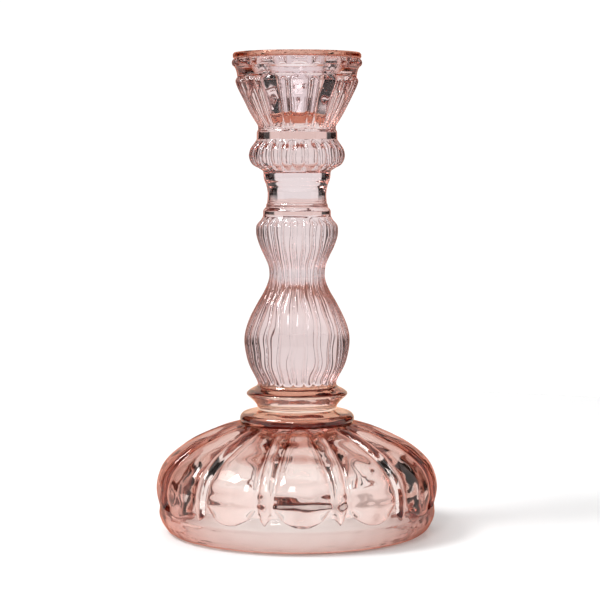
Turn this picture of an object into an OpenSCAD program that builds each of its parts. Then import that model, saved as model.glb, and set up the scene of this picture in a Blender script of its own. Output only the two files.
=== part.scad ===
// Pressed glass candlestick: a flared cup with a candle socket, a ribbed stem and a
// hollow, lobed foot. The sections sit on one another along Z and meet on flat round
// joints. The origin is the middle of the face that it stands on.

/* [Heights] */
// Height of the plain rim ring of the foot
rim_h = 9.6; // [9:0.1:10.2]
// Height of the foot, up to the collar
foot_h = 46; // [45.8:0.1:46.8]
// Height of the top of the collar
collar_top = 51.8; // [51.5:0.1:52.4]
// Height of the top of the flange
flange_top = 62.2; // [61.6:0.1:63]
// Height of the top of the baluster
baluster_top = 132.8; // [132:0.1:133.1]
// Height of the top of the ring under the neck
ring_top = 139.6; // [139:0.1:140.6]
// Height of the top of the neck
neck_top = 152; // [151.6:0.1:152.5]
// Height of the top of the knop
knop_top = 164.9; // [164.2:0.1:165.8]
// Height of the top of the plain band under the cup
band_top = 169.1; // [168:0.1:169.9]
// Height of the whole candlestick
total_h = 201; // [200.2:0.1:203]

/* [Socket] */
// Diameter of the straight part of the candle socket
socket_d = 22.6; // [21:0.1:23.6]
// Length of the straight part
socket_land = 8; // [6:0.5:9]
// Depth of the straight part's top below the lip
socket_drop = 9; // [8:0.5:10]
// Diameter of the socket's mouth at the lip
mouth_d = 28; // [25:0.5:32]
// Diameter of the socket's floor
socket_floor_d = 17.6; // [14:0.2:19]
// Depth of the socket's floor below the lip
socket_depth = 24.4; // [22:0.1:26]

/* [Ribs and lobes] */
// Number of wide lobes on the foot, and of wide gadroons on the cup
lobe_count = 12; // [12]
// Number of ribs on the knop and the baluster
rib_count = 24; // [24]
// Depth of the grooves between the lobes of the foot
lobe_depth = 2.3; // [0.8:0.1:2.6]
// Depth of the grooves between the gadroons of the cup
gadroon_depth = 1.5; // [0.5:0.1:1.8]
// Depth of the grooves between the ribs of the baluster
rib_depth = 0.9; // [0.4:0.1:1.2]
// Depth of the grooves between the ribs of the knop
knop_depth = 1.1; // [0.4:0.1:1.3]

/* [Hidden] */

glass = [0.95, 0.80, 0.77, 0.55];
$fn = 96;                       // round surfaces
sides = 96;                     // points round a ribbed ring: eight to each lobe
pitch = 360 / lobe_count;       // angle from one wide lobe to the next
front = -90;                    // a wide lobe is centred on the front, at -Y

// Radii where two neighbouring sections meet
rim_r = 58.1;
foot_top_r = 23.9;
collar_top_r = 16.8;
flange_top_r = 16.5;
baluster_top_r = 14.3;
ring_top_r = 12.4;
neck_top_r = 14.4;
knop_top_r = 16.9;
band_top_r = 16.3;

// Outlines as [radius, height], from the bottom up. A smooth curve runs through them.
foot_outline = [
    [rim_r, rim_h], [58.2, 11.2], [59, 14.6], [59.4, 18], [59.2, 20.8], [58.5, 24],
    [56.8, 28], [54.5, 31], [51.3, 34], [46.6, 37.4], [40.4, 40.6], [33.8, 43.3],
    [29.2, 44.7], [26, 45.5], [foot_top_r, foot_h]
];
baluster_outline = [
    [flange_top_r, flange_top], [18.2, 66.2], [20.5, 71.4], [21.9, 77], [22.1, 82.4],
    [20.4, 89], [16.6, 96.6], [13, 103.2], [11.6, 108.2], [12.6, 114], [15.5, 120],
    [17.2, 126.6], [16.3, 130.2], [baluster_top_r, baluster_top]
];
knop_outline = [
    [neck_top_r, neck_top], [16.2, 153.1], [18.1, 154.1], [19.3, 155.4], [20.1, 158.3],
    [19.5, 161.2], [18, 163.4], [knop_top_r, knop_top]
];
gadroon_outline = [
    [band_top_r, band_top], [16.4, 170.8], [17.8, 173], [19.6, 176], [21.1, 179],
    [22.6, 182], [24.6, 186], [25.4, 188], [25.7, 189.4], [25.3, 190.8]
];

// Upper cup: the cove above the gadroons, the moulding and the lip
cove = [[25, 191.8], [25.2, 192.8], [25.6, 194.2]];
moulding_h = 196.8;             // middle of the bead-and-reel moulding
moulding_r = 26.3;
bead_out = 1;                   // how far a bead or reel stands out
bead_half = 1.5;                // half its height
lip_r = 26.8;
lip_low = 199;                  // height of the lip's lower edge
lip_round = 0.6;

// Gadroons of the cup: half the angle of each, and the height where its round top begins
wide_half = 9.6;
wide_top = 188.9;
wide_rise = 2.9;                // height of the round top
narrow_half = 4.2;
narrow_top = 188.4;
narrow_rise = 2;
full_depth_h = 180;             // height from which the grooves have their full depth

// Foot
dart_half = 2.9;                // half the width of the narrow rib between two lobes
gap_min = 0.35;                 // gap between a lobe and a rib, at the top of the foot
gap_max = 1.1;                  // the same, at the foot's widest
turn_h = 19;                    // height below which lobe and rib narrow
lobe_end = [12, 3];             // height where a lobe's round end begins, and its length
dart_end = [12.2, 2.4];         // the same for the narrow rib
lobe_start = [28.5, 3.5];       // radius where a lobe's upper end begins, and its length
ledge_h = 14;                   // top of the rounded ledge that the rim ring makes
ledge_round = [2.7, 3.4];       // the ledge's rounding, across and up
base_inner_r = 49;              // inner edge of the flat ring that stands on the table
base_outer_r = 51.8;

// Catmull-Rom curve through the points, with n steps from each point to the next
function spline(a, b, c, d, t) =
    0.5 * (2 * b + (c - a) * t + (2 * a - 5 * b + 4 * c - d) * t * t
           + (3 * b - a - 3 * c + d) * t * t * t);
function curve(pts, n) = [
    for (i = [0 : len(pts) - 2], k = [0 : n - 1])
        spline(pts[max(i - 1, 0)], pts[i], pts[i + 1], pts[min(i + 2, len(pts) - 1)], k / n),
    pts[len(pts) - 1]
];

// Outward normal of an outline at point i, flat at both ends
function normal(line, i) =
    i == 0 || i == len(line) - 1 ? [1, 0]
    : let (d = line[i + 1] - line[i - 1]) [d[1], -d[0]] / norm(d);

// Smooth 0 to 1 as x goes from a to b
function ramp(a, b, x) = let (t = min(max((x - a) / (b - a), 0), 1)) t * t * (3 - 2 * t);

// Crowned cross-section: 1 at the middle of a rib, and 0 where the length of the offsets,
// as parts of its half sizes, reaches 1
function crown(offsets) =
    let (u = norm(offsets)) u >= 1 ? 0 : pow(1 - pow(u, 2.4), 0.6);

// How far x is past start on the way to start + length, and 0 before start
function past(start, length, x) = max(0, (x - start) / length);

// Angle from the nearest multiple of p
function fold(a, p) = a - p * round(a / p);

// A closed solid from rings of points that share one axis, each ring at its own height
module stack(rings) {
    count = len(rings);
    points = [for (ring = rings, p = ring) p];
    walls = [
        for (j = [0 : count - 2], i = [0 : sides - 1])
            let (a = j * sides + i, b = j * sides + (i + 1) % sides)
                [a, a + sides, b + sides, b]
    ];
    floor_face = [for (i = [0 : sides - 1]) i];
    top_face = [for (i = [sides - 1 : -1 : 0]) (count - 1) * sides + i];
    polyhedron(points = points, faces = concat(walls, [floor_face, top_face]), convexity = 8);
}

// One ring: the outline's point, pushed in along its normal by depth(angle)
function ring_at(p, n, depths) = [
    for (i = [0 : sides - 1])
        let (a = i * 360 / sides, r = p[0] - n[0] * depths[i], z = p[1] - n[1] * depths[i])
            [r * cos(a + front), r * sin(a + front), z]
];

// Ribs all round: a section whose grooves fade out at both ends
module ribbed(outline, steps, depth, fade) {
    line = curve(outline, steps);
    low = line[0][1];
    high = line[len(line) - 1][1];
    stack([
        for (j = [0 : len(line) - 1])
            let (z = line[j][1], d = depth * ramp(0, fade, min(z - low, high - z)))
                ring_at(line[j], normal(line, j), [
                    for (i = [0 : sides - 1])
                        d * (1 - crown([fold(i * 360 / sides, 360 / rib_count) / 180 * rib_count, 0]))
                ])
    ]);
}

// Groove depth on the foot at angle a, radius r and height z
function foot_relief(a, r, z) =
    let (gap = gap_min + (gap_max - gap_min) * ramp(foot_top_r, rim_r, r),
         lobe_half = (pitch / 2 - (dart_half + gap) / r * 180 / PI)
                     * (1 - 0.22 * ramp(turn_h, 13.5, z)),
         rib_half = dart_half / r * 180 / PI * (1 - 0.35 * ramp(turn_h, 13, z)),
         lobe = crown([
             fold(a, pitch) / lobe_half, past(lobe_end[0], -lobe_end[1], z),
             past(lobe_start[0], -lobe_start[1], r)
         ]),
         dart = crown([
             fold(a + pitch / 2, pitch) / rib_half, past(dart_end[0], -dart_end[1], z)
         ]))
        lobe_depth * (0.35 + 0.65 * ramp(foot_top_r, 40, r)) * (1 - max(lobe, 0.92 * dart));
function ledge_r(z) =
    z > ledge_h ? 0
    : rim_r - ledge_round[0]
      + ledge_round[0] * sqrt(max(0, 1 - pow(past(ledge_h - ledge_round[1], ledge_round[1], z), 2)));
function foot_depth(a, p) =
    max(0, min(foot_relief(a, p[0], p[1]), p[0] - ledge_r(p[1])))
    * ramp(0, 0.8, foot_h - p[1]) * ramp(0, 0.3, p[1] - rim_h);

// Groove depth on the cup's gadroons at angle a and height z. Wide and narrow gadroons
// alternate, each with a round top.
function gadroon_relief(a, z) =
    let (wide = crown([fold(a, pitch) / wide_half, past(wide_top, wide_rise, z)]),
         narrow = crown([
             fold(a + pitch / 2, pitch) / narrow_half, past(narrow_top, narrow_rise, z)
         ]))
        gadroon_depth * (0.3 + 0.7 * ramp(band_top, full_depth_h, z))
        * (1 - max(wide, 0.8 * narrow)) * ramp(0, 0.6, z - band_top) * (1 - ramp(190.6, 191.7, z));

// Beads at the half pitch and longer reels between them, round the moulding
function moulding(a, z) =
    let (rise = 1 - pow((z - moulding_h) / bead_half, 2),
         reel = 1 - pow(fold(a, pitch) / 7.5, 2),
         bead = 1 - pow(fold(a + pitch / 2, pitch) / 3.6, 2))
        rise <= 0 ? 0 : bead_out * sqrt(rise) * sqrt(max(0, max(reel, bead)));

module candle_cup() {
    upper = concat(cove, [
        for (k = [-1, -0.66, 0, 0.66, 1]) [moulding_r, moulding_h + k * bead_half],
        [lip_r, lip_low], [lip_r, total_h - lip_round], [lip_r - lip_round, total_h]
    ]);
    color(glass) difference() {
        stack(concat(
            [for (p = curve(gadroon_outline, 2))
                ring_at(p, [1, 0], [
                    for (i = [0 : sides - 1]) gadroon_relief(i * 360 / sides, p[1])
                ])],
            [for (p = upper)
                ring_at(p, [1, 0], [for (i = [0 : sides - 1]) -moulding(i * 360 / sides, p[1])])]
        ));
        candle_socket();
    }
}

// The candle socket: a flared mouth, a straight part that grips the candle, and a
// narrowing end with a flat floor
module candle_socket() {
    land_top = total_h - socket_drop;
    land_low = land_top - socket_land;
    floor_z = total_h - socket_depth;
    clear = 1;
    flare = (mouth_d - socket_d) / socket_drop;
    rotate_extrude() polygon([
        [0, floor_z], [socket_floor_d / 2 - 1, floor_z], [socket_floor_d / 2, floor_z + 1],
        [socket_d / 2, land_low], [socket_d / 2, land_top],
        [mouth_d / 2 + flare * clear / 2, total_h + clear], [0, total_h + clear]
    ]);
}

// A plain turned section, from its joint below to its joint above
module turned(outline) {
    low = outline[0][1];
    high = outline[len(outline) - 1][1];
    color(glass) rotate_extrude() polygon(concat([[0, low]], outline, [[0, high]]));
}

module cup_band() {
    turned([[knop_top_r, knop_top], [knop_top_r, band_top - 0.4], [band_top_r, band_top]]);
}

module knop() {
    color(glass) ribbed(knop_outline, 2, knop_depth, 1.5);
}

module neck() {
    turned(concat(
        curve([[ring_top_r, ring_top], [12.3, 142.8], [12.9, 146], [13.7, 148], [14, 149.4]], 3),
        [[14.1, 151.3], [neck_top_r, neck_top]]
    ));
}

module neck_ring() {
    turned([
        [baluster_top_r, baluster_top], [14.2, 133.4], [14.2, 135.2], [13.7, 136],
        [13, 136.7], [12.9, 137.8], [12.5, 138.4], [ring_top_r, ring_top]
    ]);
}

module baluster() {
    color(glass) ribbed(baluster_outline, 2, rib_depth, 2.5);
}

module flange() {
    turned(concat(
        curve([[collar_top_r, collar_top], [16.8, 53], [17.5, 54.2], [19.2, 56], [20.6, 57.2]], 2),
        curve([[21.3, 58], [21, 58.9], [19.5, 60], [17.4, 61.1], [flange_top_r, flange_top]], 2)
    ));
}

module foot_collar() {
    turned(curve([
        [foot_top_r, foot_h], [24.1, 47.8], [23.7, 49.2], [22.4, 50.3], [18.9, 51.2],
        [collar_top_r, collar_top]
    ], 3));
}

// The hollow under the foot
module foot_hollow() {
    roof = foot_h - 3.2;
    inside = [
        [base_inner_r, 0], [50.7, 2], [52.7, 4.4], [54.2, 7.4], [55.1, 11], [55.4, 16], [55, 21],
        [53.6, 25.6], [51, 29.4], [47, 33], [41, 36.2], [33, 39.6], [25, 41.8], [14, roof]
    ];
    clear = 1;
    rotate_extrude() polygon(concat(
        [[0, -clear], [inside[0][0], -clear]], curve(inside, 2), [[0, roof]]
    ));
}

module foot_dome() {
    line = curve(foot_outline, 2);
    color(glass) difference() {
        stack([
            for (j = [0 : len(line) - 1])
                ring_at(line[j], normal(line, j), [
                    for (i = [0 : sides - 1]) foot_depth(i * 360 / sides, line[j])
                ])
        ]);
        foot_hollow();
    }
}

module foot_rim() {
    color(glass) difference() {
        rotate_extrude() polygon([
            [0, 0], [base_outer_r, 0], [53.4, 0.5], [55, 1.5], [56.3, 3.2], [57.4, 5.2],
            [58.1, 7.2], [58.3, 8.4], [rim_r, rim_h], [0, rim_h]
        ]);
        foot_hollow();
    }
}

candle_cup();
cup_band();
knop();
neck();
neck_ring();
baluster();
flange();
foot_collar();
foot_dome();
foot_rim();
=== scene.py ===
import math

import bpy
import numpy as np
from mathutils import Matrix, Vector


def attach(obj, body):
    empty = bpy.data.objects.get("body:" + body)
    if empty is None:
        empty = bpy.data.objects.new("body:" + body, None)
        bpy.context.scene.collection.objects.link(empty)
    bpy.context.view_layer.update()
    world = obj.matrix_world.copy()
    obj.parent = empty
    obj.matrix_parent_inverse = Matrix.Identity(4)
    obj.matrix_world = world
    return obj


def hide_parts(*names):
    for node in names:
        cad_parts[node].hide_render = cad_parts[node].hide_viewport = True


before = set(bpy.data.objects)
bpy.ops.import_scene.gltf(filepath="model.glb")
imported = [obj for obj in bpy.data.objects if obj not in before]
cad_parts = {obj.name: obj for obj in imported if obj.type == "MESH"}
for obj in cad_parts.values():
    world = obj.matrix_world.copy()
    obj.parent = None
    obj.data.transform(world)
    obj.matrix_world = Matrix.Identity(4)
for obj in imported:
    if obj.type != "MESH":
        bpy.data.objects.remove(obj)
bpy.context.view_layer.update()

MM = 0.001
SEG = 480                 # points round a section
PITCH = 30.0              # degrees from one wide lobe to the next
RIB = 15.0                # degrees from one rib to the next
FRONT = -90.0             # a wide lobe is centred on -Y
DART = 2.9                # half width of a pointed rib of the foot, mm
LOBE_DEPTH = 2.3          # depth of the grooves between the lobes of the foot
GADROON_DEPTH = 1.5       # depth of the grooves between the gadroons of the cup
LIP_LOW = 198.7           # the deeper-coloured lip starts at this height
SOCKET_LOW = 178.2        # and so does the socket's floor, below this one

# ---------------------------------------------------------------- outlines, in mm

RIM = [[51.8, 0], [53.4, 0.5], [55, 1.5], [56.3, 3.2], [57.4, 5.2], [58.1, 7.2], [58.3, 8.4],
       [58.1, 9.6]]
FOOT = [[58.1, 9.6], [58.2, 11.2], [59, 14.6], [59.4, 18], [59.2, 20.8], [58.5, 24],
        [56.8, 28], [54.5, 31], [51.3, 34], [46.6, 37.4], [40.4, 40.6], [33.8, 43.3],
        [29.2, 44.7], [26, 45.5], [23.9, 46]]
HOLLOW = [[49, 0], [50.7, 2], [52.7, 4.4], [54.2, 7.4], [55.1, 11], [55.4, 16], [55, 21],
          [53.6, 25.6], [51, 29.4], [47, 33], [41, 36.2], [33, 39.6], [25, 41.8], [14, 42.8]]
COLLAR = [[23.9, 46], [24.1, 47.8], [23.7, 49.2], [22.4, 50.3], [18.9, 51.2], [16.8, 51.8]]
FLANGE_LOW = [[16.8, 51.8], [16.8, 53], [17.5, 54.2], [19.2, 56], [20.6, 57.2]]
FLANGE_TOP = [[21.3, 58], [21, 58.9], [19.5, 60], [17.4, 61.1], [16.5, 62.2]]
BALUSTER = [[16.5, 62.2], [17, 64], [20, 70], [21.5, 75], [22.2, 80.4], [21.6, 85.2],
            [19.5, 91], [16.6, 96.6], [14, 101], [12.2, 105], [11.6, 108.2], [12, 112],
            [13.6, 116], [15.5, 120], [16.9, 124], [17.2, 126.6], [16.9, 129.2],
            [15.2, 131.3], [14.3, 132.8]]
NECK_RING = [[14.3, 132.8], [14.2, 133.4], [14.2, 135.2], [13.7, 136], [13, 136.7],
             [12.9, 137.8], [12.5, 138.4], [12.4, 139.6]]
NECK = [[12.4, 139.6], [12.3, 142.8], [12.9, 146], [13.7, 148], [14, 149.4]]
NECK_END = [[14.1, 151.3], [14.4, 152]]
KNOP = [[14.4, 152], [16.2, 153.1], [18.1, 154.1], [19.3, 155.4], [20, 157.2], [20.1, 158.9],
        [19.5, 161.2], [18, 163.4], [16.9, 164.9]]
BAND = [[16.9, 164.9], [16.8, 168], [16.3, 169.1]]
GADROONS = [[16.3, 169.1], [16.4, 170.8], [17.8, 173], [19.6, 176], [21.1, 179], [22.6, 182],
            [24.6, 186], [25.4, 188], [25.7, 189.4], [25.3, 190.8]]
UPPER_CUP = [[25, 191.8], [25.2, 192.8], [25.6, 194.2], [26.2, 195.2],
             [26.3, 198.6], [26.8, 199], [26.8, 200.4], [26.2, 201]]
SOCKET = [[14, 201], [11.3, 192], [11.3, 184], [8.8, 177.6], [7.8, 176.6]]


def curve(points, count):
    """Catmull-Rom curve, count steps from each point to the next."""
    p = np.array(points, float)
    out = []
    for i in range(len(p) - 1):
        a, b, c, d = p[max(i - 1, 0)], p[i], p[i + 1], p[min(i + 2, len(p) - 1)]
        for k in range(count):
            t = k / count
            out.append(0.5 * (2 * b + (c - a) * t + (2 * a - 5 * b + 4 * c - d) * t * t
                              + (3 * b - a - 3 * c + d) * t ** 3))
    out.append(p[-1])
    return np.array(out)


def along(line, step):
    """The same line with a point every step."""
    line = np.asarray(line, float)
    length = np.r_[0, np.cumsum(np.hypot(*np.diff(line, axis=0).T))]
    n = max(2, int(math.ceil(length[-1] / step)) + 1)
    s = np.linspace(0, length[-1], n)
    return np.c_[np.interp(s, length, line[:, 0]), np.interp(s, length, line[:, 1])]


def soften(line, radius, step=0.5, turn=7.0):
    """Rounds a line's corners to about radius, then spaces its points by length and turn."""
    fine = 0.04
    p = along(line, fine)
    half = int(round(3 * radius / fine))
    w = np.exp(-0.5 * (np.arange(-half, half + 1) * fine / radius) ** 2)
    w /= w.sum()
    if len(p) > half:
        head = 2 * p[0] - p[1:half + 1][::-1]
        tail = 2 * p[-1] - p[-half - 1:-1][::-1]
        q = np.vstack([head, p, tail])
        p = np.c_[np.convolve(q[:, 0], w, "valid"), np.convolve(q[:, 1], w, "valid")]
    d = np.diff(p, axis=0)
    ds = np.hypot(*d.T)
    heading = np.unwrap(np.arctan2(d[:, 1], d[:, 0]))
    bend = np.abs(np.r_[0, np.diff(heading)]) * 180 / math.pi
    cost = np.r_[0, np.cumsum(ds / step + bend / turn)]
    n = max(2, int(math.ceil(cost[-1])) + 1)
    c = np.linspace(0, cost[-1], n)
    return np.c_[np.interp(c, cost, p[:, 0]), np.interp(c, cost, p[:, 1])]


def normals(line):
    """Outward normals of a line that runs up the outside."""
    d = np.gradient(line, axis=0)
    n = np.c_[d[:, 1], -d[:, 0]]
    return n / np.maximum(np.hypot(*n.T), 1e-9)[:, None]


# ---------------------------------------------------------------- ribs and lobes

def ramp(a, b, x):
    t = np.clip((x - a) / (b - a), 0, 1)
    return t * t * (3 - 2 * t)


def fold(a, p):
    return a - p * np.round(a / p)


def crown(*offsets):
    """1 at the middle of a rib, and 0 where the offsets, as parts of its half sizes, reach 1."""
    u = np.minimum(np.sqrt(sum(np.square(x) for x in offsets)), 1)
    return (1 - u ** 2.4) ** 0.6


def past(start, length, x):
    """How far x is past start on the way to start + length, and 0 before start."""
    return np.maximum(0, (x - start) / length)


def waves(seed, size, count=14):
    """A smooth field in space, about 1 high, with ripples about size mm long."""
    rng = np.random.RandomState(seed)
    k = rng.normal(size=(count, 3))
    k /= np.linalg.norm(k, axis=1)[:, None]
    k *= (2 * math.pi / size) * rng.uniform(0.6, 1.5, (count, 1))
    phase = rng.uniform(0, 2 * math.pi, count)

    def field(x, y, z):
        total = 0
        for (kx, ky, kz), f in zip(k, phase):
            total = total + np.sin(kx * x + ky * y + kz * z + f)
        return total / math.sqrt(count)
    return field


def foot_relief(a, r, z):
    gap = 0.35 + 0.75 * ramp(23.9, 58.1, r)
    half = (PITCH / 2 - np.degrees((DART + gap) / r)) * (1 - 0.22 * ramp(19, 13.5, z))
    lobe = crown(fold(a, PITCH) / half, past(12, -3, z), past(28.5, -3.5, r))
    half = np.degrees(DART / r) * (1 - 0.35 * ramp(19, 13, z))
    dart = crown(fold(a + PITCH / 2, PITCH) / half, past(12.2, -2.4, z))
    depth = LOBE_DEPTH * (0.35 + 0.65 * ramp(23.9, 40, r)) * (1 - np.maximum(lobe, 0.92 * dart))
    # the rounded ledge that the gaps run out on
    ledge = 55.4 + 2.7 * np.sqrt(np.maximum(0, 1 - past(10.6, 3.4, z) ** 2))
    ledge = np.where(z > 14, 0, ledge)
    depth = np.maximum(0, np.minimum(depth, r - ledge))
    return depth * ramp(0, 0.8, 46 - z) * ramp(0, 0.3, z - 9.6)


def gadroon_relief(a, r, z):
    wide = crown(fold(a, PITCH) / 9.6, past(188.9, 2.9, z))
    narrow = crown(fold(a + PITCH / 2, PITCH) / 4.2, past(188.4, 2, z))
    fall = 0.3 + 0.7 * ramp(169.1, 180, z)
    groove = GADROON_DEPTH * fall * (1 - np.maximum(wide, 0.8 * narrow))
    groove = groove * ramp(0, 0.6, z - 169.1) * (1 - ramp(190.6, 191.7, z))
    # long reels and round beads, in turn, round the moulding
    rise = 1 - ((z - 196.8) / 1.5) ** 2
    reel = 1 - (fold(a, PITCH) / 7.5) ** 2
    bead = 1 - (fold(a + PITCH / 2, PITCH) / 3.6) ** 2
    out = np.sqrt(np.maximum(0, rise)) * np.sqrt(np.maximum(0, np.maximum(reel, bead)))
    return groove - out


def ribs(low, high, depth, fade, seed):
    """Ribs all round, each a little different, that fade out at both ends."""
    rng = np.random.RandomState(seed)
    count = int(round(360 / RIB))
    deep = depth * rng.uniform(0.7, 1.15, count)
    wobble = waves(seed + 50, 14)

    def relief(a, r, z):
        turn = np.radians(a)
        a = a + 1.1 * wobble(20 * np.cos(turn), 20 * np.sin(turn), z)
        index = np.round(a / RIB).astype(int) % count
        d = deep[index] * ramp(0, fade, np.minimum(z - low, high - z))
        return d * (1 - crown(fold(a, RIB) / (RIB / 2)))
    return relief


# ---------------------------------------------------------------- meshes

def lathe(name, spans, materials, closed=False):
    """Revolves spans of outline into one closed mesh.

    Each span is (line, relief, ripple, slot, radial). The line runs on from the span
    before. relief(a, r, z) and ripple(x, y, z) push the surface in along the outward
    normal, or straight towards the axis where radial is true. slot is the material.
    A point at radius 0 becomes a single vertex."""
    angle = np.arange(SEG) * 360.0 / SEG
    cosine, sine = np.cos(np.radians(angle + FRONT)), np.sin(np.radians(angle + FRONT))
    rings, slots = [], []
    last = None
    for line, relief, ripple, slot, radial in spans:
        n = normals(line)
        if radial:
            n = np.c_[np.ones(len(line)), np.zeros(len(line))]
        r = np.repeat(line[:, :1], SEG, 1)
        z = np.repeat(line[:, 1:], SEG, 1)
        a = np.repeat(angle[None, :], len(line), 0)
        depth = relief(a, r, z) if relief else 0 * r
        if ripple:
            depth = depth + ripple(r * cosine, r * sine, z)
        r = r - n[:, :1] * depth
        z = z - n[:, 1:] * depth
        first = 1 if last is not None and np.allclose(last, line[0], atol=1e-6) else 0
        for j in range(first, len(line)):
            if rings:
                slots.append(slot)
            rings.append((r[j] * cosine, r[j] * sine, z[j], line[j, 0] < 1e-6))
        last = line[-1]
    if closed:
        rings.pop()
    verts, starts, count = [], [], 0
    for x, y, z, axis in rings:
        starts.append((count, axis))
        verts.append([[0.0, 0.0, float(z.mean())]] if axis else np.c_[x, y, z])
        count += 1 if axis else SEG
    verts = np.vstack(verts) * MM
    i = np.arange(SEG)
    k = (i + 1) % SEG
    pairs = list(zip(starts[:-1], starts[1:]))
    if closed:
        pairs.append((starts[-1], starts[0]))
    faces, face_slots = [], []
    for ((s0, axis0), (s1, axis1)), slot in zip(pairs, slots):
        if axis0 and axis1:
            continue
        if axis0:
            f = np.c_[np.full(SEG, s0), s1 + k, s1 + i]
        elif axis1:
            f = np.c_[s0 + i, s0 + k, np.full(SEG, s1)]
        else:
            f = np.c_[s0 + i, s0 + k, s1 + k, s1 + i]
        faces.extend(f.tolist())
        face_slots.extend([slot] * SEG)
    mesh = bpy.data.meshes.new(name)
    mesh.from_pydata(verts.tolist(), [], faces)
    for m in materials:
        mesh.materials.append(m)
    mesh.polygons.foreach_set("material_index", face_slots)
    mesh.polygons.foreach_set("use_smooth", [True] * len(faces))
    # the edge between the surface and a joint face stays sharp
    edge_of = np.zeros(len(mesh.loops), int)
    total = np.zeros(len(mesh.polygons), int)
    mesh.loops.foreach_get("edge_index", edge_of)
    mesh.polygons.foreach_get("loop_total", total)
    slot_of = np.repeat(np.array(face_slots), total)
    low = np.full(len(mesh.edges), 99)
    high = np.full(len(mesh.edges), -1)
    np.minimum.at(low, edge_of, slot_of)
    np.maximum.at(high, edge_of, slot_of)
    mesh.edges.foreach_set("use_edge_sharp", (low != high).tolist())
    mesh.update()
    obj = bpy.data.objects.new(name, mesh)
    bpy.context.scene.collection.objects.link(obj)
    return obj


# ---------------------------------------------------------------- materials

def node(tree, kind, **values):
    n = tree.nodes.new(kind)
    for key, value in values.items():
        if key.startswith("in_"):
            n.inputs[int(key[3:]) if key[3:].isdigit() else key[3:]].default_value = value
        else:
            setattr(n, key, value)
    return n


IOR = 1.5           # of common glass
LAMP_SHARE = 0.36   # how much of a lamp's light each surface of the glass lets through
CM = 100.0          # centimetres in a metre


def glass_material(name, tint, clarity, edge, bump):
    """Tinted glass: tint is the colour of each surface, clarity the share of red, green and
    blue light that is left after 1 cm inside the glass, edge the colour of a surface that
    is met at the flattest angle, followed by how late that colour sets in, and bump the
    noise's scale, its height in metres and its stretch along Z."""
    m = bpy.data.materials.new(name)
    m.use_nodes = True
    t = m.node_tree
    t.nodes.clear()
    out = node(t, "ShaderNodeOutputMaterial")
    glass = node(t, "ShaderNodeBsdfGlass")
    glass.inputs["Roughness"].default_value = 0.0
    glass.inputs["IOR"].default_value = IOR
    path = node(t, "ShaderNodeLightPath")
    side = node(t, "ShaderNodeNewGeometry")
    # the way from the last surface, in cm, where this surface is met from inside
    inside = node(t, "ShaderNodeMath", operation="MULTIPLY")
    t.links.new(path.outputs["Ray Length"], inside.inputs[0])
    t.links.new(side.outputs["Backfacing"], inside.inputs[1])
    way = node(t, "ShaderNodeMath", operation="MULTIPLY")
    way.inputs[1].default_value = CM
    t.links.new(inside.outputs[0], way.inputs[0])
    weight = node(t, "ShaderNodeLayerWeight")
    weight.inputs["Blend"].default_value = 0.5
    steep = node(t, "ShaderNodeMath", operation="POWER")
    steep.inputs[1].default_value = edge[3]
    t.links.new(weight.outputs["Facing"], steep.inputs[0])
    colour = node(t, "ShaderNodeCombineColor")
    for channel in range(3):
        left = node(t, "ShaderNodeMath", operation="POWER")
        left.inputs[0].default_value = clarity[channel]
        t.links.new(way.outputs[0], left.inputs[1])
        share = node(t, "ShaderNodeMath", operation="MULTIPLY")
        share.inputs[1].default_value = tint[channel]
        t.links.new(left.outputs[0], share.inputs[0])
        # a surface met at a flat angle is deeper in colour
        loss = node(t, "ShaderNodeMath", operation="MULTIPLY_ADD")
        loss.inputs[1].default_value = edge[channel] - 1
        loss.inputs[2].default_value = 1.0
        t.links.new(steep.outputs[0], loss.inputs[0])
        both = node(t, "ShaderNodeMath", operation="MULTIPLY")
        t.links.new(share.outputs[0], both.inputs[0])
        t.links.new(loss.outputs[0], both.inputs[1])
        t.links.new(both.outputs[0], colour.inputs[channel])
    t.links.new(colour.outputs[0], glass.inputs["Color"])
    # slow waves and fine orange peel of fire-polished pressed glass
    coord = node(t, "ShaderNodeTexCoord")
    stretch = node(t, "ShaderNodeMapping")
    stretch.inputs["Scale"].default_value = (1, 1, bump[2])
    t.links.new(coord.outputs["Object"], stretch.inputs["Vector"])
    noise = node(t, "ShaderNodeTexNoise")
    noise.inputs["Scale"].default_value = bump[0]
    noise.inputs["Detail"].default_value = 2.0
    t.links.new(stretch.outputs["Vector"], noise.inputs["Vector"])
    b = node(t, "ShaderNodeBump")
    b.inputs["Strength"].default_value = 1.0
    b.inputs["Distance"].default_value = bump[1]
    t.links.new(noise.outputs["Fac"], b.inputs["Height"])
    t.links.new(b.outputs["Normal"], glass.inputs["Normal"])
    # light reaches the table through the glass
    clear = node(t, "ShaderNodeBsdfTransparent")
    clear.inputs["Color"].default_value = (LAMP_SHARE, LAMP_SHARE, LAMP_SHARE, 1)
    shade = node(t, "ShaderNodeMixShader")
    t.links.new(path.outputs["Is Shadow Ray"], shade.inputs[0])
    t.links.new(glass.outputs["BSDF"], shade.inputs[1])
    t.links.new(clear.outputs["BSDF"], shade.inputs[2])
    t.links.new(shade.outputs[0], out.inputs["Surface"])
    return m


def joint_material():
    """The fused faces inside the glass: light goes straight through them."""
    m = bpy.data.materials.new("fused_joint")
    m.use_nodes = True
    t = m.node_tree
    t.nodes.clear()
    out = node(t, "ShaderNodeOutputMaterial")
    clear = node(t, "ShaderNodeBsdfTransparent")
    t.links.new(clear.outputs["BSDF"], out.inputs["Surface"])
    return m


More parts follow.
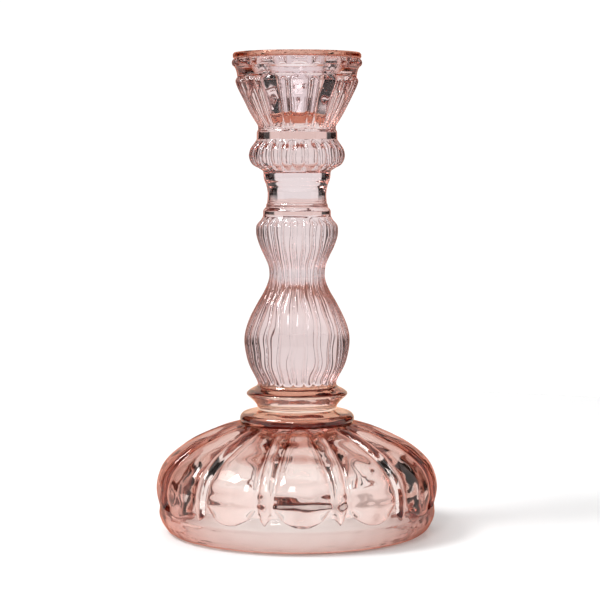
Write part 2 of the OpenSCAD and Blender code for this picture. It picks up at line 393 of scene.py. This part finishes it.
FINE = (180.0, 0.00003, 0.4)
EDGE = (0.66, 0.20, 0.07, 2.0)
stem_glass = glass_material("blush_glass_stem", (0.912, 0.878, 0.896), (0.975, 0.948, 0.938),
                            EDGE, FINE)
cup_glass = glass_material("blush_glass_cup", (0.940, 0.918, 0.940), (0.968, 0.925, 0.905),
                           EDGE, FINE)
band_glass = glass_material("blush_glass_band", (0.920, 0.860, 0.865), (0.95, 0.89, 0.87),
                            EDGE, FINE)
lip_glass = glass_material("blush_glass_lip", (0.84, 0.56, 0.44), (0.96, 0.86, 0.81),
                           EDGE, FINE)
disc_glass = glass_material("blush_glass_disc", (0.955, 0.915, 0.895), (0.975, 0.94, 0.915),
                            (0.99, 0.62, 0.38, 2.0), FINE)
foot_glass = glass_material("blush_glass_foot", (0.975, 0.957, 0.952), (0.95, 0.865, 0.825),
                            (0.62, 0.16, 0.045, 1.7), (140.0, 0.00004, 0.7))
rim_glass = glass_material("blush_glass_rim", (0.970, 0.935, 0.930), (0.95, 0.82, 0.77),
                           (0.66, 0.18, 0.06, 1.8), (130.0, 0.00010, 5.0))
joint = joint_material()

# ---------------------------------------------------------------- pieces

def ripples(seed, size, height, low, high):
    """Slow waves in the surface, size mm long and height mm high, still at both joints."""
    field = waves(seed, size)
    return lambda x, y, z: height * field(x, y, z) * ramp(0, 1.5, z - low) * ramp(0, 1.5, high - z)


def joint_disc(r, z, outward):
    line = np.array([[0, z], [r * 0.5, z], [r, z]], float)
    return (line if outward else line[::-1], None, None, 1, False)


def section(name, line, relief, seed, size, height, glass):
    """A section with a joint face at each end."""
    low, high = line[0], line[-1]
    return lathe(name, [joint_disc(*low, True),
                        (line, relief, ripples(seed, size, height, low[1], high[1]), 0, False),
                        joint_disc(*high, False)], [glass, joint])


hollow = curve(HOLLOW, 8)
RIM_TOP = RIM[-1][1]
inner_r = float(np.interp(RIM_TOP, hollow[:, 1], hollow[:, 0]))
outer_r = RIM[-1][0]
seam = [inner_r, RIM_TOP]
hollow_low = np.vstack([[seam], hollow[hollow[:, 1] < RIM_TOP - 1e-6][::-1]])
hollow_high = np.vstack([[[0, HOLLOW[-1][1]]], hollow[hollow[:, 1] > RIM_TOP + 1e-6][::-1], [seam]])


def hollow_ripple(x, y, z):
    """Slow waves in the wall of the hollow, still at the seam and at the table."""
    return 0.07 * hollow_waves(x, y, z) * ramp(0, 1.5, abs(z - RIM_TOP)) * ramp(0, 1.5, z)


hollow_waves = waves(31, 9)
rim_waves = waves(32, 5)


def rim_ripple(x, y, z):
    """Fine wrinkles that run round the rim ring."""
    return (0.05 * rim_waves(0.45 * x, 0.45 * y, 2.2 * z)
            * ramp(0, 1.5, RIM_TOP - z) * ramp(0, 1.5, z - 0.5))


shelf = np.array([[outer_r, RIM_TOP], [(outer_r + inner_r) / 2, RIM_TOP], seam])

cup_line = soften(np.vstack([curve(GADROONS, 12), UPPER_CUP]), 0.2, 0.4, 7)
cup_ripple = ripples(20, 10, 0.03, GADROONS[0][1], UPPER_CUP[-1][1])
lip_start = int(np.argmax(cup_line[:, 1] > LIP_LOW))
socket_line = soften([UPPER_CUP[-1]] + SOCKET + [[0, SOCKET[-1][1]]], 0.25, 0.7, 8)
floor_start = int(np.argmax(socket_line[:, 1] < SOCKET_LOW))

pieces = {
    "foot_rim": lathe("rim_ring", [
        (soften([HOLLOW[0]] + RIM, 0.25, 0.45, 7), None, rim_ripple, 0, False),
        (shelf, None, None, 1, False),
        (soften(hollow_low, 0.3, 0.6, 7), None, hollow_ripple, 0, False),
    ], [rim_glass, joint], closed=True),
    "foot_dome": lathe("lobed_dome", [
        (shelf[::-1], None, None, 1, False),
        (soften(curve(FOOT, 12), 0.15, 0.55, 6), foot_relief,
         ripples(12, 14, 0.05, RIM_TOP, FOOT[-1][1]), 0, False),
        joint_disc(*FOOT[-1], False),
        (soften(hollow_high, 0.6, 0.7, 6), None, hollow_ripple, 0, False),
    ], [foot_glass, joint], closed=True),
    "foot_collar": section("collar_ring", soften(curve(COLLAR, 12), 0.15), None,
                           13, 8, 0.03, disc_glass),
    "flange": section("saucer_ring",
                      soften(np.vstack([curve(FLANGE_LOW, 12), curve(FLANGE_TOP, 12)]), 0.15),
                      None, 14, 8, 0.03, disc_glass),
    "baluster": section("ribbed_baluster", soften(curve(BALUSTER, 12), 0.15, 0.55),
                        ribs(BALUSTER[0][1], BALUSTER[-1][1], 0.9, 2.5, 3),
                        15, 12, 0.06, stem_glass),
    "neck_ring": section("stepped_ring", soften(NECK_RING, 0.15), None, 16, 8, 0.02, band_glass),
    "neck": section("plain_neck", soften(np.vstack([curve(NECK, 12), NECK_END]), 0.2), None,
                    17, 8, 0.02, stem_glass),
    "knop": section("ribbed_knop", soften(curve(KNOP, 12), 0.15, 0.4),
                    ribs(KNOP[0][1], KNOP[-1][1], 1.1, 1.5, 4), 18, 8, 0.04, stem_glass),
    "cup_band": section("plain_band", soften(BAND, 0.15), None, 19, 8, 0.02, band_glass),
    "candle_cup": lathe("gadrooned_cup", [
        joint_disc(*GADROONS[0], True),
        (cup_line[:lip_start + 1], gadroon_relief, cup_ripple, 0, True),
        (cup_line[lip_start:], gadroon_relief, cup_ripple, 2, True),
        (socket_line[:floor_start + 1], None, None, 0, False),
        (socket_line[floor_start:], None, None, 2, False),
    ], [cup_glass, joint, lip_glass]),
}
for cad_node, piece in pieces.items():
    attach(piece, "root")
    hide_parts(cad_node)

# ---------------------------------------------------------------- studio

def math_node(tree, op, a, b=None):
    n = tree.nodes.new("ShaderNodeMath")
    n.operation = op
    for slot, value in enumerate((a, b)):
        if value is None:
            continue
        if isinstance(value, (int, float)):
            n.inputs[slot].default_value = value
        else:
            tree.links.new(value, n.inputs[slot])
    return n.outputs[0]


def smooth_box(tree, x, middle, half, soft):
    """1 where x is within half of middle, smoothly 0 outside it."""
    off = math_node(tree, "ABSOLUTE", math_node(tree, "SUBTRACT", x, middle))
    n = tree.nodes.new("ShaderNodeMapRange")
    n.interpolation_type = "SMOOTHSTEP"
    n.inputs["From Min"].default_value = half + soft
    n.inputs["From Max"].default_value = half - soft
    tree.links.new(off, n.inputs["Value"])
    return n.outputs["Result"]


# Soft panels round the room, as (azimuth, half width, height angle, half height, softness,
# light). Azimuth 0 is straight behind the object, 90 is to the right.
PANELS = [
    (0, 33, 20, 40, 2, 1.05),
    (0, 58, -18, 12, 5, 1.0),
    (97, 29, 25, 36, 3, 1.15),
    (-97, 29, 25, 36, 3, 1.15),
    (180, 50, 22, 30, 8, 0.4),
    (180, 24, 35, 12, 3, 1.2),
    (-160, 8, 42, 8, 2, 12.0),
]
TOP_LIGHT = (64, 1.4)
ROOM = 0.01

world = bpy.data.worlds.new("studio")
bpy.context.scene.world = world
world.use_nodes = True
w = world.node_tree
w.nodes.clear()
coord = w.nodes.new("ShaderNodeTexCoord")
split = w.nodes.new("ShaderNodeSeparateXYZ")
w.links.new(coord.outputs["Generated"], split.inputs[0])
dx, dy, dz = split.outputs
azimuth = math_node(w, "MULTIPLY", math_node(w, "ARCTAN2", dx, dy), 180 / math.pi)
height = math_node(w, "MULTIPLY", math_node(w, "ARCSINE", dz), 180 / math.pi)
light = None
for az, half, el, tall, soft, level in PANELS:
    if az == 180:
        across = math_node(w, "SUBTRACT", 180, math_node(w, "ABSOLUTE", azimuth))
        side = smooth_box(w, across, 0, half, soft)
    else:
        side = smooth_box(w, azimuth, az, half, soft)
    up = smooth_box(w, height, el, tall, soft)
    panel = math_node(w, "MULTIPLY", math_node(w, "MULTIPLY", side, up), level)
    light = panel if light is None else math_node(w, "MAXIMUM", light, panel)
over = smooth_box(w, height, 90, 90 - TOP_LIGHT[0], 3)
light = math_node(w, "MAXIMUM", light, math_node(w, "MULTIPLY", over, TOP_LIGHT[1]))
light = math_node(w, "MAXIMUM", light, ROOM)
# the backdrop that the camera sees is plain white all round
path = w.nodes.new("ShaderNodeLightPath")
strength = math_node(w, "MAXIMUM", light, path.outputs["Is Camera Ray"])
back = w.nodes.new("ShaderNodeBackground")
back.inputs["Color"].default_value = (1, 1, 1, 1)
w.links.new(strength, back.inputs["Strength"])
out = w.nodes.new("ShaderNodeOutputWorld")
w.links.new(back.outputs[0], out.inputs["Surface"])

# floor
bpy.ops.mesh.primitive_circle_add(vertices=96, radius=0.5, fill_type="NGON",
                                  location=(0, 0, -0.0002))
floor = bpy.context.object
floor.name = "floor"
fm = bpy.data.materials.new("pale_floor")
fm.use_nodes = True
bsdf = fm.node_tree.nodes["Principled BSDF"]
bsdf.inputs["Base Color"].default_value = (0.785, 0.785, 0.785, 1)
bsdf.inputs["Roughness"].default_value = 0.7
bsdf.inputs["Specular IOR Level"].default_value = 0.2
floor.data.materials.append(fm)


def area_light(name, place, aim, size, level):
    """A rectangular softbox; level is its brightness beside the white backdrop's 1."""
    data = bpy.data.lights.new(name, "AREA")
    data.shape = "RECTANGLE"
    data.size, data.size_y = size
    data.energy = level * math.pi * size[0] * size[1]
    obj = bpy.data.objects.new(name, data)
    bpy.context.scene.collection.objects.link(obj)
    obj.location = place
    obj.rotation_euler = (Vector(aim) - Vector(place)).to_track_quat("-Z", "Y").to_euler()
    obj.visible_camera = False


area_light("key", (-0.75, -0.25, 1.1), (0, 0, 0.05), (0.4, 0.4), 27.0)

# ---------------------------------------------------------------- camera

camera_data = bpy.data.cameras.new("camera")
camera_data.sensor_width = 36
camera_data.lens = 115.85
camera = bpy.data.objects.new("camera", camera_data)
bpy.context.scene.collection.objects.link(camera)
TARGET = Vector((0.00126, 0, 0.0976))
DISTANCE, AZIMUTH, ELEVATION = 0.813, math.radians(-2.3), math.radians(4.2)
camera.location = TARGET + DISTANCE * Vector((
    math.sin(AZIMUTH) * math.cos(ELEVATION),
    -math.cos(AZIMUTH) * math.cos(ELEVATION),
    math.sin(ELEVATION)))
camera.rotation_euler = (TARGET - camera.location).to_track_quat("-Z", "Y").to_euler()
bpy.context.scene.camera = camera

scene = bpy.context.scene
scene.view_settings.view_transform = "Standard"
scene.view_settings.look = "None"
scene.cycles.max_bounces = 48
scene.cycles.transmission_bounces = 48
scene.cycles.glossy_bounces = 32
scene.cycles.transparent_max_bounces = 64
scene.cycles.diffuse_bounces = 3
scene.cycles.sample_clamp_indirect = 6.0
